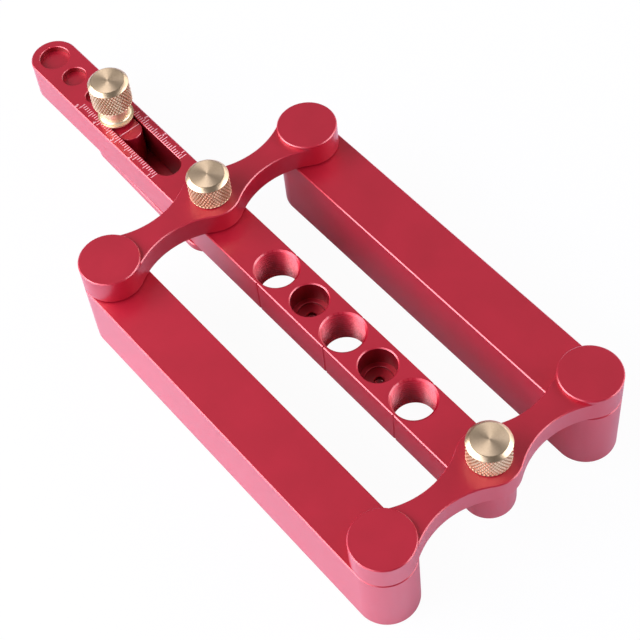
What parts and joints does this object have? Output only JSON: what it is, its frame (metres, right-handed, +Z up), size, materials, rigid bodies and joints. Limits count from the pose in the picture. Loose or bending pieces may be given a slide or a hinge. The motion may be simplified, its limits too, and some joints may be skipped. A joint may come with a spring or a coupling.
{
  "type": "dowel drilling jig",
  "caption": "Self-centring dowel drilling jig: a scaled centre bar with guide holes, carried between two parallel fences by two pivoting links with knurled nuts.",
  "frame": {"origin": "centre of the whole jig's box, on the plane that the two fences stand on", "axes": "+X along the centre bar from the scaled tip towards the guide holes and the near link, +Y towards the right fence, +Z up"},
  "size_m": [0.2304, 0.096, 0.0419],
  "materials": {
    "red_anodised": "fine satin red anodising, machined edges",
    "brass": "pale turned brass with a diamond knurl",
    "zinc_steel": "bright zinc plate"
  },
  "bodies": {
    "bar": {"centre_bar": "red_anodised", "far_pivot_screw": "zinc_steel", "near_pivot_screw": "zinc_steel"},
    "far_link": {"far_link": "red_anodised", "left_far_fence_screw": "zinc_steel", "left_far_washer": "zinc_steel", "right_far_fence_screw": "zinc_steel", "right_far_washer": "zinc_steel"},
    "near_link": {"near_link": "red_anodised", "left_near_fence_screw": "zinc_steel", "left_near_washer": "zinc_steel", "right_near_fence_screw": "zinc_steel", "right_near_washer": "zinc_steel"},
    "left_fence": {"left_fence": "red_anodised"},
    "right_fence": {"right_fence": "red_anodised"},
    "far_thumb_nut": {"far_thumb_nut": "brass"},
    "near_thumb_nut": {"near_thumb_nut": "brass"},
    "slider": {"index_slider": "red_anodised", "clamp_screw": "zinc_steel"},
    "swing_stop": {"swing_stop": "red_anodised"},
    "arm_nut": {"arm_nut": "brass"}
  },
  "joints": [
    {"name": "link_fold", "type": "hinge", "parent": "bar", "child": "far_link", "pos_m": [-0.01925, 0, 0.0287], "axis": [0, 0, -1], "range_deg": [-60, 60]},
    {"name": "near_link_fold", "type": "hinge", "parent": "bar", "child": "near_link", "pos_m": [0.10575, 0, 0.0287], "axis": [0, 0, -1], "range_deg": [-60, 60]},
    {"name": "left_fence_pivot", "type": "hinge", "parent": "far_link", "child": "left_fence", "pos_m": [-0.01925, -0.0385, 0.01675], "axis": [0, 0, -1], "range_deg": [-60, 60]},
    {"name": "right_fence_pivot", "type": "hinge", "parent": "far_link", "child": "right_fence", "pos_m": [-0.01925, 0.0385, 0.01675], "axis": [0, 0, -1], "range_deg": [-60, 60]},
    {"name": "slider_travel", "type": "slide", "parent": "bar", "child": "slider", "axis": [1, 0, 0], "range_m": [-0.0022, 0.021]},
    {"name": "stop_swing", "type": "hinge", "parent": "slider", "child": "swing_stop", "pos_m": [-0.07145, 0, 0.00925], "axis": [0, 0, 1], "range_deg": [-90, 90]},
    {"name": "arm_nut_turn", "type": "hinge", "parent": "slider", "child": "arm_nut", "pos_m": [-0.07145, 0, 0.028], "axis": [0, 0, 1], "continuous": true},
    {"name": "far_nut_turn", "type": "hinge", "parent": "bar", "child": "far_thumb_nut", "pos_m": [-0.01925, 0, 0.036], "axis": [0, 0, 1], "continuous": true},
    {"name": "near_nut_turn", "type": "hinge", "parent": "bar", "child": "near_thumb_nut", "pos_m": [0.10575, 0, 0.036], "axis": [0, 0, 1], "continuous": true}
  ],
  "couplings": [
    {"joint": "near_link_fold", "follows": "link_fold", "ratio": 1},
    {"joint": "left_fence_pivot", "follows": "link_fold", "ratio": -1},
    {"joint": "right_fence_pivot", "follows": "link_fold", "ratio": -1}
  ]
}
